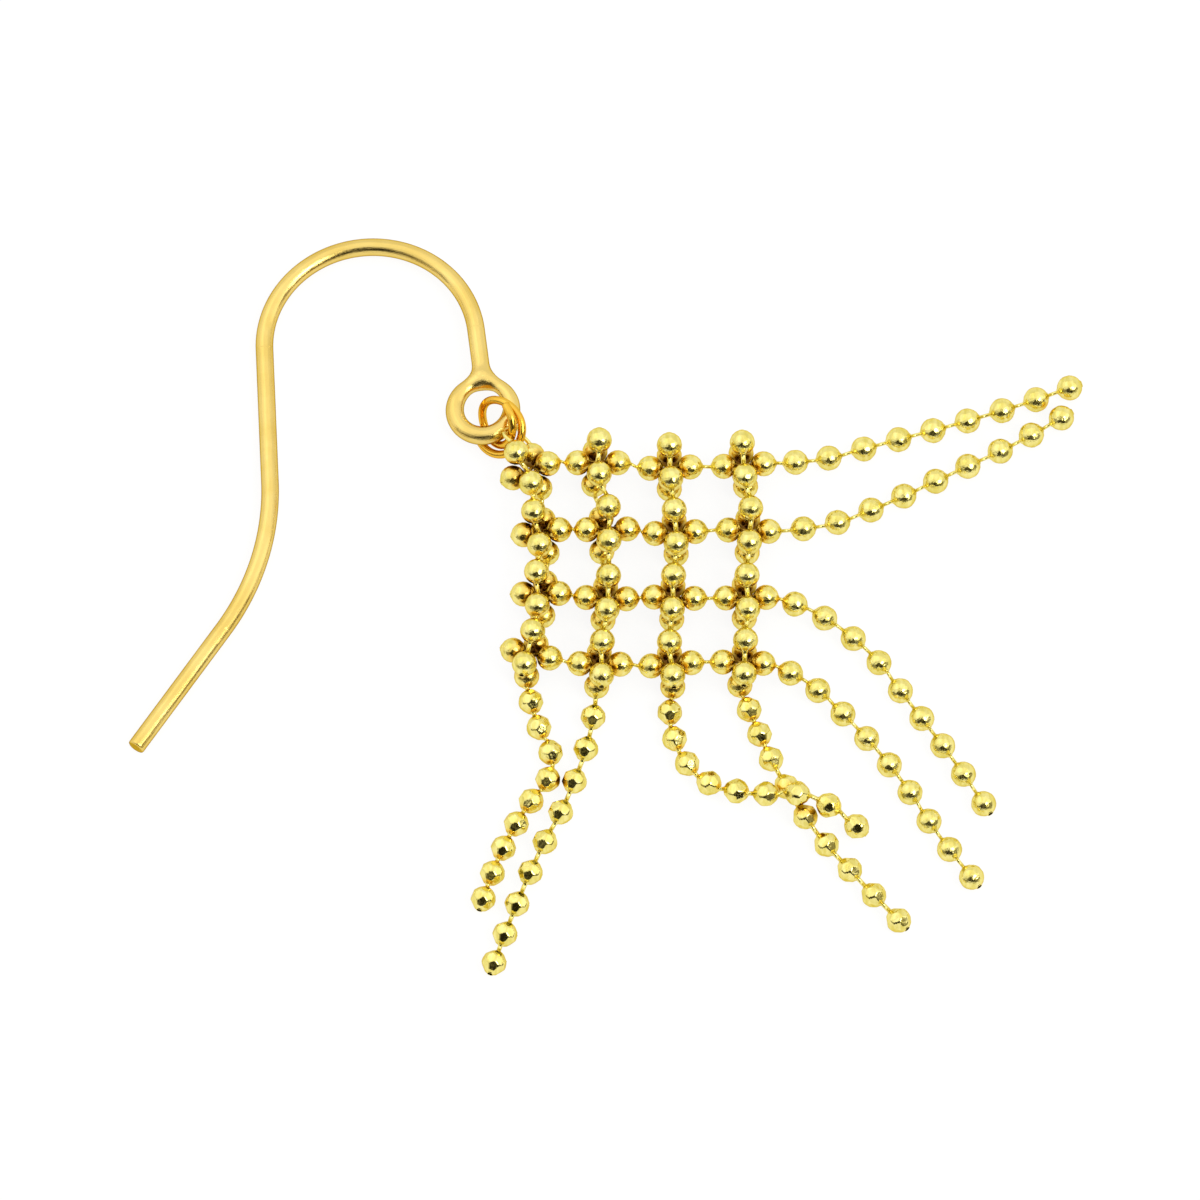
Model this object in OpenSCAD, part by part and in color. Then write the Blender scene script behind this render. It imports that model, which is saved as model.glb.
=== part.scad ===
// Fringe earring of yellow gold: a French ear wire, a two-turn jump ring and a square mesh of
// ball chain whose strands run on into eight loose tails.
// It lies on a table as it was laid down: X to the right, Y away from the viewer, Z up,
// with the origin under the middle of the whole earring.

/* [Ear wire] */
// Diameter of the ear wire
hook_wire_d = 0.7; // [0.6:0.02:0.8]
// Radius of the arch that goes through the ear, to the middle of the wire
arch_r = 4.21; // [4:0.05:4.4]
// Length of the straight back leg between the arch and the bend
back_leg = 5.8; // [5:0.1:6.5]
// Radius of the bend above the free end
bend_r = 10.6; // [9:0.2:12]
// How far the bend turns the wire, in degrees
bend_turn = 36.6; // [25:0.5:40]
// Length of the straight free end
free_end = 6.1; // [4:0.1:7]
// Radius of the loop, to the middle of its wire
loop_r = 1.11; // [1:0.01:1.2]
// Diameter of the loop's wire, a little thicker from the solder
loop_wire_d = 0.74; // [0.72:0.01:0.78]
// Distance from the end of the arch to the middle of the loop
loop_drop = 3.54; // [3.4:0.02:3.7]
// How far the loop sits to one side of the leg that carries it
loop_offset = 0.15; // [0:0.01:0.3]
// Radius of the solder fillets between leg and loop
fillet_r = 0.8; // [0.5:0.05:1]
// Tilt of the ear wire, whose loop is held up by the ring, in degrees
hook_tilt = 2.9; // [2.5:0.1:3.2]

/* [Jump ring] */
// Diameter of the ring's wire
ring_wire_d = 0.32; // [0.28:0.01:0.32]

/* [Ball chain] */
// Diameter of a ball
ball_d = 1; // [0.9:0.02:1]
// Diameter of the hole through a ball
bore_d = 0.48; // [0.48:0.02:0.5]
// Diameter of the link wire
link_d = 0.18; // [0.12:0.02:0.18]
// Half the spacing of the two balls of a row at a crossing
row_half = 0.79; // [0.79:0.005:0.8]
// Half the spacing of the two front balls of a column at a crossing
front_half = 0.73; // [0.72:0.005:0.74]
// Half the spacing of the two rear balls of a column at a crossing
rear_half = 0.72; // [0.71:0.005:0.73]
// Height of the rows above the columns that lie on the table
layer = 0.56; // [0.55:0.01:0.6]
// How far each ball of a row's tail drops until the tail lies on the table
tail_drop = 0.25; // [0.2:0.01:0.3]

/* [Hidden] */

HOOK_GOLD = [0.93, 0.70, 0.30];
BALL_GOLD = [0.90, 0.80, 0.33];

ball_r = ball_d / 2;
rear_z = ball_r;
row_z = rear_z + layer;
front_z = row_z + layer;

// The mesh. One line for each crossing, row by row from the back and left to right: where it is, how
// far it is turned (degrees), how far the row's left ball is pushed in, where the middle of the front
// balls and the middle of the rear balls lie from it, and how far the rear balls are turned.
CROSSINGS = [
    // x, y, turn, left_in, front_x, front_y, rear_x, rear_y, rear_turn
    [[-3.01,  5.59,  24, 0.07, -0.23, -0.10,  0.26,  0.22,  12],
     [-0.31,  5.95,   0, 0,     0.06,  0,    -0.13,  0.02,  -2],
     [ 2.55,  5.74,   2, 0,     0,     0,    -0.03,  0.05,   0],
     [ 5.46,  5.85,   4, 0,     0,     0,    -0.01,  0.04,   7]],
    [[-2.62,  2.93,   9, 0.17, -0.11, -0.05,  0.23,  0.08,   6],
     [ 0.06,  3.07,   1, 0,     0.06,  0,    -0.22,  0,      1],
     [ 2.75,  2.93,   3, 0,     0,     0,     0,     0.04,   3],
     [ 5.65,  3.01,  -2, 0,     0.06,  0,    -0.04,  0.03,  -1]],
    [[-2.64,  0.28,   1, 0.18, -0.07, -0.02,  0.21,  0.02,  -4],
     [ 0.03,  0.09,  -2, 0,     0.06,  0,    -0.08,  0.03,  -4],
     [ 2.71,  0.11,  -2, 0,    -0.05,  0,    -0.07,  0.04,  -2],
     [ 5.55,  0.11,   1, 0,     0.05,  0,    -0.07,  0.08,   0]],
    [[-2.98, -2.32, -13, 0.10, -0.06,  0.04,  0.05, -0.02, -15],
     [-0.22, -2.75,  -1, 0,     0.08,  0,    -0.08,  0,     -4],
     [ 2.59, -2.77,   5, 0,     0,     0,     0,     0,      5],
     [ 5.42, -2.70,  -2, 0,     0.08,  0,    -0.03,  0,     -7]]];
TURN = 2;
LEFT_IN = 3;
FRONT_X = 4;
FRONT_Y = 5;
REAR_X = 6;
REAR_Y = 7;
REAR_TURN = 8;

// The tails. For each, the way it runs (degrees from X) and the spacing of its balls (mm) at the
// balls that TAIL_KNOTS names; the balls between take values between.
TAIL_BALLS = 9;
TAIL_KNOTS = [1, 3, 5, 7, 9];
ROW_TAILS = [
    // heading                     spacing
    [[  8,  17,  16,  18,  21], [1.30, 1.45, 1.42, 1.44, 1.42]],
    [[  9,  23,  27,  27,  32], [1.42, 1.44, 1.42, 1.44, 1.40]],
    [[ -9, -37, -55, -55, -58], [1.18, 1.42, 1.48, 1.44, 1.50]],
    [[-16, -45, -52, -59, -54], [1.16, 1.40, 1.44, 1.44, 1.48]]];
COLUMN_TAILS = [
    // heading                          spacing
    [[-81,  -67, -125, -116, -108], [1.12, 1.18, 1.14, 1.16, 1.16]],
    [[-96, -108, -116, -111, -109], [1.34, 1.46, 1.42, 1.46, 1.30]],
    [[-96,  -65,  -24,   -3,  -31], [1.12, 1.18, 1.22, 1.26, 1.40]],
    [[-71,  -67,  -60,  -50,  -48], [1.12, 1.16, 1.50, 1.42, 1.46]]];
// The third column's tail lies across the fourth: ball number and height above the table
CROSSOVER = [[4, 0], [5, 0.30], [6, 0.65], [7, 0.85], [8, 0.55], [9, 0]];
CROSSING_TAIL = 2;

// The jump ring's two turns. For each, the middle, the radius, and the lean and compass direction of
// its axis (degrees).
RING_TURNS = [
    // x, y, z, radius, lean, direction
    [-4.27, 7.76, 1.05, 0.97, 64, -152],
    [-4.20, 7.53, 0.87, 1.04, 40, -142]];
// Where on the ring its turns are counted from (degrees), at how many turns the wire starts and ends,
// and over which it passes from one to the other
RING_ORIGIN = 212;
RING_ENDS = [0.14, 1.79];
RING_CHANGE = [0.7, 1.3];
RING_STEPS = 80;
RING_SIDES = 12;

// The corner link is a wire eye that goes from the front ball's hole through both turns of the ring
// and back to the rear ball's hole. These points on its way lie inside the ring.
EYE_POINTS = [
    // x, y, z
    [-4.03, 7.10, 1.41],
    [-3.55, 7.48, 1.13],
    [-3.31, 7.33, 0.62]];
EYE_STEPS = 6;
LINK_SIDES = 6;

// Places of the balls

// A point near the crossing k: its middle pushed by x and y, then out along the turned crossing
function crossing_point(k, turn, along, across, push_x, push_y, z) =
    [k.x + push_x + along * cos(turn) - across * sin(turn),
     k.y + push_y + along * sin(turn) + across * cos(turn),
     z];

function row_mesh(r) = [
    for (k = CROSSINGS[r]) for (along = [k[LEFT_IN] - row_half, row_half])
        crossing_point(k, k[TURN], along, 0, 0, 0, row_z)];

function front_mesh(c) = [
    for (row = CROSSINGS) for (side = [1, -1])
        let (k = row[c])
        crossing_point(k, k[TURN], 0, side * front_half, k[FRONT_X], k[FRONT_Y], front_z)];

function rear_mesh(c) = [
    for (row = CROSSINGS) for (side = [1, -1])
        let (k = row[c])
        crossing_point(k, k[REAR_TURN], 0, side * rear_half, k[REAR_X], k[REAR_Y], rear_z)];

// The value at ball i of a tail's headings or spacings
function at_ball(values, i) =
    lookup(i, [for (k = [0:len(TAIL_KNOTS) - 1]) [TAIL_KNOTS[k], values[k]]]);

// The next balls of a tail after the point p, each at its spacing and heading, at its own height
function tail(p, table, heights, i = 1) =
    i > TAIL_BALLS ? [] :
    let (
        rise = heights[i - 1] - p.z,
        reach = sqrt(pow(at_ball(table[1], i), 2) - rise * rise),
        heading = at_ball(table[0], i),
        q = [p.x + reach * cos(heading), p.y + reach * sin(heading), heights[i - 1]]
    )
    concat([q], tail(q, table, heights, i + 1));

// A row's tail comes down from the mesh and then lies on the table
ROW_HEIGHTS = [for (i = [1:TAIL_BALLS]) max(rear_z, row_z - tail_drop * i)];
FLAT_HEIGHTS = [for (i = [1:TAIL_BALLS]) rear_z];
CROSSOVER_HEIGHTS = [for (i = [1:TAIL_BALLS]) rear_z + lookup(i, CROSSOVER)];

function last(list) = list[len(list) - 1];

ROWS = [for (r = [0:3])
    let (m = row_mesh(r)) concat(m, tail(last(m), ROW_TAILS[r], ROW_HEIGHTS))];
COLUMNS = [for (c = [0:3])
    let (m = rear_mesh(c), z = c == CROSSING_TAIL ? CROSSOVER_HEIGHTS : FLAT_HEIGHTS)
    concat(m, tail(last(m), COLUMN_TAILS[c], z))];
FRONTS = [for (c = [0:3]) front_mesh(c)];

// Wire swept along a path

function unit(v) = v / norm(v);

// Direction of the path at point i, halfway between the stretches that meet there
function heading_at(path, i) =
    let (
        end = len(path) - 1,
        before = unit(path[max(i, 1)] - path[max(i, 1) - 1]),
        after = unit(path[min(i, end - 1) + 1] - path[min(i, end - 1)])
    )
    unit(before + after);

// A tube of the given diameter along the path. The up vector must never lie along it.
module tube(path, d, sides, up) {
    count = len(path);
    points = [for (i = [0:count - 1])
        let (
            t = heading_at(path, i),
            a = unit(cross(t, up)),
            b = cross(t, a)
        )
        for (k = [0:sides - 1])
            path[i] + d / 2 * (a * cos(360 * k / sides) + b * sin(360 * k / sides))];
    walls = [for (i = [0:count - 2]) for (k = [0:sides - 1])
        let (n = (k + 1) % sides)
        [i * sides + k, i * sides + n, (i + 1) * sides + n, (i + 1) * sides + k]];
    start_cap = [[for (k = [sides - 1:-1:0]) k]];
    end_cap = [[for (k = [0:sides - 1]) (count - 1) * sides + k]];
    polyhedron(points, concat(walls, start_cap, end_cap), convexity = 4);
}

// Turns +Z to the direction v
module point_along(v) {
    rotate([0, acos(v.z / norm(v)), atan2(v.y, v.x)])
        children();
}

// Ball chain

// A ball at point i of the strand, drilled along the strand
module ball(strand, i) {
    translate(strand[i])
        point_along(heading_at(strand, i))
            difference() {
                sphere(d = ball_d, $fn = 32);
                cylinder(d = bore_d, h = 2 * ball_d, center = true, $fn = 24);
            }
}

module beads(strand) {
    color(BALL_GOLD)
        for (i = [0:len(strand) - 1])
            ball(strand, i);
}

module link_wire(strand) {
    color(BALL_GOLD)
        tube(strand, link_d, LINK_SIDES, [0, 0, 1]);
}

// Jump ring

function smooth(t) = let (s = min(max(t, 0), 1)) s * s * (3 - 2 * s);
function mix(a, b, t) = a * (1 - t) + b * t;

// Two axes that span the plane whose normal leans from Z by lean towards direction
function ring_axes(lean, direction) = [
    [-sin(direction), cos(direction), 0],
    [-cos(lean) * cos(direction), -cos(lean) * sin(direction), sin(lean)]];

// The middle of the ring's wire after t turns
function ring_point(t) =
    let (
        s = smooth((t - RING_CHANGE[0]) / (RING_CHANGE[1] - RING_CHANGE[0])),
        first = RING_TURNS[0],
        second = RING_TURNS[1],
        axes_1 = ring_axes(first[4], first[5]),
        axes_2 = ring_axes(second[4], second[5]),
        centre = mix([first.x, first.y, first.z], [second.x, second.y, second.z], s),
        radius = mix(first[3], second[3], s),
        a = mix(axes_1[0], axes_2[0], s),
        b = mix(axes_1[1], axes_2[1], s),
        angle = -(360 * t + RING_ORIGIN)
    )
    centre + radius * (cos(angle) * a + sin(angle) * b);

RING_PATH = [for (i = [0:RING_STEPS]) ring_point(mix(RING_ENDS[0], RING_ENDS[1], i / RING_STEPS))];

module jump_ring() {
    color(HOOK_GOLD)
        tube(RING_PATH, ring_wire_d, RING_SIDES, [0.3, -0.5, 0.8]);
}

// Corner link

// A smooth curve from b to c, where a and d are the points before and after them
function smooth_between(a, b, c, d, t) =
    (2 * b + (c - a) * t + (2 * a - 5 * b + 4 * c - d) * t * t
     + (3 * b - a - 3 * c + d) * t * t * t) / 2;

function smooth_path(p, steps) = [
    p[0],
    for (i = [1:len(p) - 3]) for (k = [0:steps - 1])
        smooth_between(p[i - 1], p[i], p[i + 1], p[i + 2], k / steps),
    p[len(p) - 2],
    p[len(p) - 1]];

module corner_link() {
    front_ball = FRONTS[0][0];
    rear_ball = COLUMNS[0][0];
    front_out = -heading_at(FRONTS[0], 0);
    rear_out = -heading_at(COLUMNS[0], 0);
    inside = 0.12 * ball_d;
    path = smooth_path(
        concat([front_ball + inside * front_out, front_ball + ball_r * front_out],
               EYE_POINTS,
               [rear_ball + ball_r * rear_out, rear_ball + inside * rear_out]),
        EYE_STEPS);
    color(BALL_GOLD)
        tube(path, link_d, LINK_SIDES, [0.1, -0.9, 0.3]);
}

// Ear wire

ARCH_CENTRE = [-9.30, 11.35];
// Where the arch ends at the short leg and at the back leg (degrees)
SHORT_LEG_LEAN = 7;
BACK_LEG_LEAN = 2.3;
arch_turn = 180 + BACK_LEG_LEAN - SHORT_LEG_LEAN;

function polar(r, a) = [r * cos(a), r * sin(a)];

// Points where the stretches of the wire meet, in the plane of the ear wire
back_top = ARCH_CENTRE + polar(arch_r, 180 + BACK_LEG_LEAN);
back_end = back_top + polar(back_leg, 270 + BACK_LEG_LEAN);
bend_centre = back_end + polar(bend_r, 180 + BACK_LEG_LEAN);
bend_end = bend_centre + polar(bend_r, BACK_LEG_LEAN - bend_turn);
free_heading = 270 + BACK_LEG_LEAN - bend_turn;
tip = bend_end + polar(free_end, free_heading);
front_top = ARCH_CENTRE + polar(arch_r, SHORT_LEG_LEAN);
front_heading = 270 + SHORT_LEG_LEAN;
loop_centre = front_top + polar(loop_drop, front_heading) + polar(loop_offset, front_heading - 90);
// The line on which the tilted wire still touches the table, from the tip to the side of the arch
rest_line = unit(ARCH_CENTRE + polar(arch_r, 165) - tip);

// Bending draws the wire a hair thinner. The straight stretches lap over the ends of the bent ones.
LAP = 0.05;
DRAWN = 0.01;

// A straight stretch of the wire from p
module straight(p, heading, length) {
    translate([p.x, p.y, 0])
        rotate([0, 90, heading])
            translate([0, 0, -LAP])
                cylinder(d = hook_wire_d, h = length + 2 * LAP, $fn = 48);
}

// A bent stretch of the wire about p
module arc(p, r, start, turn) {
    translate([p.x, p.y, 0])
        rotate([0, 0, start])
            rotate_extrude(angle = turn, $fn = 96)
                translate([r, 0])
                    circle(d = hook_wire_d - DRAWN, $fn = 48);
}

// Solder between leg and loop: a web whose two sides are hollow arcs that run into both
module solder() {
    top = 0.9 * hook_wire_d / 2;
    outer = loop_r + 0.9 * loop_wire_d / 2;
    arc_x = top + fillet_r;
    arc_y = sqrt(pow(outer + fillet_r, 2) - arc_x * arc_x);
    touch = outer / (outer + fillet_r);
    inside = loop_r / (outer + fillet_r);
    translate([loop_centre.x, loop_centre.y, 0])
        rotate([0, 0, front_heading + 90])
            linear_extrude(height = 0.7 * hook_wire_d, center = true)
                difference() {
                    polygon([[-arc_x * inside, arc_y * inside], [arc_x * inside, arc_y * inside],
                             [arc_x * touch, arc_y * touch], [top, arc_y],
                             [-top, arc_y], [-arc_x * touch, arc_y * touch]]);
                    for (side = [-1, 1])
                        translate([side * arc_x, arc_y])
                            circle(r = fillet_r, $fn = 64);
                }
}

module flat_ear_wire() {
    arc(ARCH_CENTRE, arch_r, SHORT_LEG_LEAN, arch_turn);
    straight(back_top, 270 + BACK_LEG_LEAN, back_leg);
    arc(bend_centre, bend_r, BACK_LEG_LEAN - bend_turn, bend_turn);
    straight(bend_end, free_heading, free_end - LAP);
    straight(front_top, front_heading, loop_drop - loop_r);
    translate([loop_centre.x, loop_centre.y, 0])
        rotate_extrude($fn = 96)
            translate([loop_r, 0])
                circle(d = loop_wire_d, $fn = 48);
    solder();
}

module ear_hook() {
    color(HOOK_GOLD)
        translate([tip.x, tip.y, hook_wire_d / 2])
            rotate(a = -hook_tilt, v = [rest_line.x, rest_line.y, 0])
                translate([-tip.x, -tip.y, 0])
                    flat_ear_wire();
}

ear_hook();
jump_ring();
corner_link();
beads(ROWS[0]);  // row_1_beads
beads(ROWS[1]);  // row_2_beads
beads(ROWS[2]);  // row_3_beads
beads(ROWS[3]);  // row_4_beads
link_wire(ROWS[0]);  // row_1_wire
link_wire(ROWS[1]);  // row_2_wire
link_wire(ROWS[2]);  // row_3_wire
link_wire(ROWS[3]);  // row_4_wire
beads(COLUMNS[0]);  // column_1_beads
beads(COLUMNS[1]);  // column_2_beads
beads(COLUMNS[2]);  // column_3_beads
beads(COLUMNS[3]);  // column_4_beads
link_wire(COLUMNS[0]);  // column_1_wire
link_wire(COLUMNS[1]);  // column_2_wire
link_wire(COLUMNS[2]);  // column_3_wire
link_wire(COLUMNS[3]);  // column_4_wire
beads(FRONTS[0]);  // front_1_beads
beads(FRONTS[1]);  // front_2_beads
beads(FRONTS[2]);  // front_3_beads
beads(FRONTS[3]);  // front_4_beads
link_wire(FRONTS[0]);  // front_1_wire
link_wire(FRONTS[1]);  // front_2_wire
link_wire(FRONTS[2]);  // front_3_wire
link_wire(FRONTS[3]);  // front_4_wire
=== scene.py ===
"""The looks of a fringe earring of yellow gold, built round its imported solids.

Every surface is worked out with numpy in millimetres, in the frame of the solids, and put into the
mesh in metres. The balls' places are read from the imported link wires.
"""

import math

import bpy
import numpy as np
from mathutils import Matrix


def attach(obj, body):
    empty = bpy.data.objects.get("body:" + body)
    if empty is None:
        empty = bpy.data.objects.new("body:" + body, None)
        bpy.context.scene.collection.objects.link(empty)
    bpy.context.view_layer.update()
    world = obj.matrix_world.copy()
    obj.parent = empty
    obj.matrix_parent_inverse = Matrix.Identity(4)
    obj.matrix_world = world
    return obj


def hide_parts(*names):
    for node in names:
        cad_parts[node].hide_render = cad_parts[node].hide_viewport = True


bl_info = {
    "name": "Fringe Earring",
    "version": (1, 0, 0),
    "blender": (4, 5, 0),
    "location": "View3D > Sidebar > Earring",
    "description": "Builds a gold ball chain earring round its packed solids",
    "category": "Object",
}

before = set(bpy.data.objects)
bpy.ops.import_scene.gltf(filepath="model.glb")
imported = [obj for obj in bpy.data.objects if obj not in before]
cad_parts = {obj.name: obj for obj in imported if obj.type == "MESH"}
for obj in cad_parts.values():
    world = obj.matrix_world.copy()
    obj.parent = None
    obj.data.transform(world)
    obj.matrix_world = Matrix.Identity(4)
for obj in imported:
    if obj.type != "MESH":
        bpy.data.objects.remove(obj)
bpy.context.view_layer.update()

MM = 0.001
UP = np.array([0.0, 0.0, 1.0])
STRANDS = ("row", "column", "front")

# Stands for a neighbour that isn't there
FAR = 9.0

# Balls of every strand that lie in the mesh, before its tail starts
MESH_BALLS = 8

# The collar round a ball's hole, from its lip inward: distance from the ball's middle as a share of the
# lip's, and radius as a share of the collar's
COLLAR_PROFILE = ((1, 0.8), (0.985, 0.97))

# How far short of the middle of a link each of its halves ends
LINK_GAP = 0.012

# How far inside a strand's last ball its hole ends, and the rim of the hole's bottom
WELL_BOTTOM = 0.12
WELL_RIM = 0.15

# The flats cut on a ball: the latitudes of their rows, their number in a row, how far each is out of
# place, and how far the balls of an aligned tail are turned against each other
FLAT_LATITUDES = np.array([-38, 0, 38])
FLATS_AROUND = 7
FLAT_STRAY = 0.04
ALIGNED_STRAY = 0.12

# The jump ring's two turns: middle x, y, z, radius, lean and compass direction of the axis
RING_TURNS = np.array([
    [-4.27, 7.76, 1.05, 0.97, 64, -152],
    [-4.20, 7.53, 0.87, 1.04, 40, -142]])
RING_ORIGIN = 212
RING_ENDS = (0.14, 1.79)
RING_CHANGE = (0.7, 1.3)

# Points of the corner link inside the ring
EYE_POINTS = np.array([[-4.03, 7.10, 1.41], [-3.55, 7.48, 1.13], [-3.31, 7.33, 0.62]])

# The ear wire: middle of its arch, and how far both legs lean from the picture's upright
ARCH_CENTRE = np.array([-9.30, 11.35])
SHORT_LEG_LEAN = 7
BACK_LEG_LEAN = 2.3

# How far above the loop's middle line the leg ends in solder, and where on the loop it is thinnest
STUB = 0.45
THIN_AT = 78

# Radius of the rounded rim of the ear wire's tip
TIP_ROUND = 0.06

# How fine the ear wire's mesh is
VOXEL = 0.06

# How quickly the brush marks change along the ear wire and across it
BRUSH_ALONG = 0.12
BRUSH_ACROSS = 4

# Half the side of the table, in metres
TABLE_HALF = 1.5

# The lights: name, azimuth, elevation, distance and size in metres, brightness and shape
LIGHTS = (
    ("overhead", 180, 72, 0.6, (0.9, 0.6), 0.22, "RECTANGLE"),
    ("left_side", -112, 45, 0.6, (0.6, 0.5), 0.25, "RECTANGLE"),
    ("lamp", 57, 50, 0.5, (0.24, 0.24), 5.5, "DISK"),
    ("right_side", 88, 38, 0.6, (0.4, 0.36), 0.4, "RECTANGLE"))

# Upper edge of the dark card: azimuth and elevation
CARD_TOP = np.array([
    [-76, 15], [-60, 27], [-45, 43], [-30, 58], [0, 70], [16, 65], [26, 50], [40, 35], [57, 30],
    [75, 27], [84, 23], [92, 10]])


# Small sums on arrays

def unit(v):
    """Vectors of length 1 along the last axis."""
    return v / np.linalg.norm(v, axis=-1, keepdims=True)


def ease(t):
    """3t^2 - 2t^3, held between 0 and 1."""
    t = np.clip(t, 0, 1)
    return t * t * (3 - 2 * t)


def polar(radius, degrees):
    """The point at this radius and angle, in the plane."""
    a = np.radians(degrees)
    return np.stack([radius * np.cos(a), radius * np.sin(a)], -1)


def side_axes(along, up=UP):
    """Two axes across each direction: its cross product with up, and the one across both."""
    a = unit(np.cross(along, up))
    return a, np.cross(along, a)


def headings(path):
    """Direction of the path at each point, halfway between the stretches that meet there."""
    step = unit(np.diff(path, axis=0))
    return unit(np.concatenate([step[:1], step[:-1] + step[1:], step[-1:]]))


# Meshes

def put_mesh(name, points, faces, nodes, material, flat=None):
    """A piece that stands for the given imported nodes, smooth-shaded but for its flat faces."""
    mesh = bpy.data.meshes.new(name)
    mesh.from_pydata((points * MM).tolist(), [], faces)
    smooth = np.ones(len(faces), bool) if flat is None else ~flat
    mesh.polygons.foreach_set("use_smooth", smooth)
    mesh.update()
    piece = bpy.data.objects.new(name, mesh)
    bpy.context.scene.collection.objects.link(piece)
    mesh.materials.append(material)
    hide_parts(*nodes)
    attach(piece, "root")
    return piece


def put_attribute(piece, name, values):
    """Gives a piece's points an attribute: one number or one vector each."""
    kind, field = ("FLOAT", "value") if values.ndim == 1 else ("FLOAT_VECTOR", "vector")
    attribute = piece.data.attributes.new(name, kind, "POINT")
    attribute.data.foreach_set(field, values.astype(np.float32).ravel())


def skin(rings, start, end):
    """Points and faces of a closed skin over rings[i, k], with a pole before and after them."""
    count, sides = rings.shape[:2]
    points = np.concatenate([rings.reshape(-1, 3), start[None], end[None]])
    i = np.arange(count - 1)[:, None] * sides
    k = np.arange(sides)[None]
    n = (k + 1) % sides
    walls = np.stack(np.broadcast_arrays(i + k, i + n, i + sides + n, i + sides + k), -1)
    k, n = k[0], n[0]
    first = np.stack([n, k, np.full(sides, count * sides)], -1)
    last = (count - 1) * sides
    final = np.stack([last + k, last + n, np.full(sides, count * sides + 1)], -1)
    return points, walls.reshape(-1, 4).tolist() + first.tolist() + final.tolist()


def wire_skin(path, radius, sides, up):
    """Rings of the given radius across the path, with rounded ends.

    Each end is a flat dome: at a share s of its height the ring's radius is that of a circle,
    the square root of 1 - s^2.
    """
    along = headings(path)
    a, b = side_axes(along, up)
    turn = np.linspace(0, 2 * np.pi, sides, endpoint=False)[None, :, None]
    across = a[:, None] * np.cos(turn) + b[:, None] * np.sin(turn)
    dome = 0.35 * radius * np.array([-along[0], along[-1]])

    def tip(end, step):
        return path[end] + step * dome[end] + radius * math.sqrt(1 - step * step) * across[end]

    rings = np.stack([tip(0, 0.85), tip(0, 0.5), *(path[:, None] + radius * across), tip(-1, 0.5),
                      tip(-1, 0.85)])
    return skin(rings, path[0] + dome[0], path[-1] + dome[-1])


# Materials

def joined(material, kind, settings, **wires):
    """A new node with the given settings, whose inputs are wired to the given outputs."""
    node = material.node_tree.nodes.new(kind)
    for name, value in settings.items():
        if name in node.inputs:
            node.inputs[name].default_value = value
        else:
            setattr(node, name, value)
    for name, output in wires.items():
        material.node_tree.links.new(output, node.inputs[name.replace("_", " ")])
    return node


def gold(name, colours, edge, roughness, dents, dent_size, clouds=(700, (1, 1, 1)), brushed=None,
         hollows=None):
    """Polished gold: two tones in soft clouds, a slightly uneven shine and fine dents.

    edge is the tint of what its edges mirror. clouds holds the scale and stretch of the clouds.
    dents is the strength of the dents, or the name of a point attribute that gives it. brushed names
    a point attribute that brush marks follow. The last argument holds the two colours of a painted
    shade, for the rim and for the depth of the narrow places that a point attribute gives: there the
    base colour is darkened to stand in for the shade that falls between the parts.
    """
    material = bpy.data.materials.new(name)
    material.use_nodes = True
    nodes, links = material.node_tree.nodes, material.node_tree.links
    shader = nodes["Principled BSDF"]
    shader.inputs["Metallic"].default_value = 1.0
    shader.inputs["Specular Tint"].default_value = (*edge, 1)
    place = nodes.new("ShaderNodeTexCoord").outputs["Object"]

    def attribute(which):
        return joined(material, "ShaderNodeAttribute", {"attribute_name": which}).outputs

    stretched = joined(material, "ShaderNodeMapping", {"Scale": clouds[1]}, Vector=place)
    mottle = joined(material, "ShaderNodeTexNoise", {"Scale": clouds[0], "Detail": 3},
                    Vector=stretched.outputs["Vector"])
    tones = joined(material, "ShaderNodeValToRGB", {}, Fac=mottle.outputs["Fac"])
    for stop, colour, at in zip(tones.color_ramp.elements, colours, (0.35, 0.65)):
        stop.color, stop.position = (*colour, 1), at
    paint = tones.outputs["Color"]
    # Painted shade: the base colour is mixed toward the two shade colours where the point attribute is
    # high
    if hollows:
        hollow = attribute("hollow")["Fac"]
        for colour, start, end in zip(hollows, (0, 0.4), (0.4, 1)):
            span = joined(material, "ShaderNodeMapRange", {"From Min": start, "From Max": end},
                          Value=hollow)
            mixed = joined(material, "ShaderNodeMixRGB", {"Color2": (*colour, 1)},
                           Fac=span.outputs["Result"], Color1=paint)
            paint = mixed.outputs["Color"]
    links.new(paint, shader.inputs["Base Color"])

    grain = joined(material, "ShaderNodeTexNoise", {"Scale": 1 / (dent_size * MM), "Detail": 4})
    links.new(place, grain.inputs["Vector"])
    if brushed:
        links.new(attribute(brushed)["Vector"], grain.inputs["Vector"])
        grain.inputs["Scale"].default_value = 1 / dent_size

    shine = joined(material, "ShaderNodeMapRange", {"To Min": roughness[0], "To Max": roughness[1]},
                   Value=grain.outputs["Fac"])
    links.new(shine.outputs["Result"], shader.inputs["Roughness"])
    relief = joined(material, "ShaderNodeBump", {"Distance": dent_size * MM * 0.2},
                    Height=grain.outputs["Fac"])
    if isinstance(dents, str):
        links.new(attribute(dents)["Fac"], relief.inputs["Strength"])
    else:
        relief.inputs["Strength"].default_value = dents
    links.new(relief.outputs["Normal"], shader.inputs["Normal"])
    return material


def tone(colour, other):
    """Two colours as tuples, for the clouds."""
    return tuple(colour), tuple(other)


# Ball chain

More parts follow.
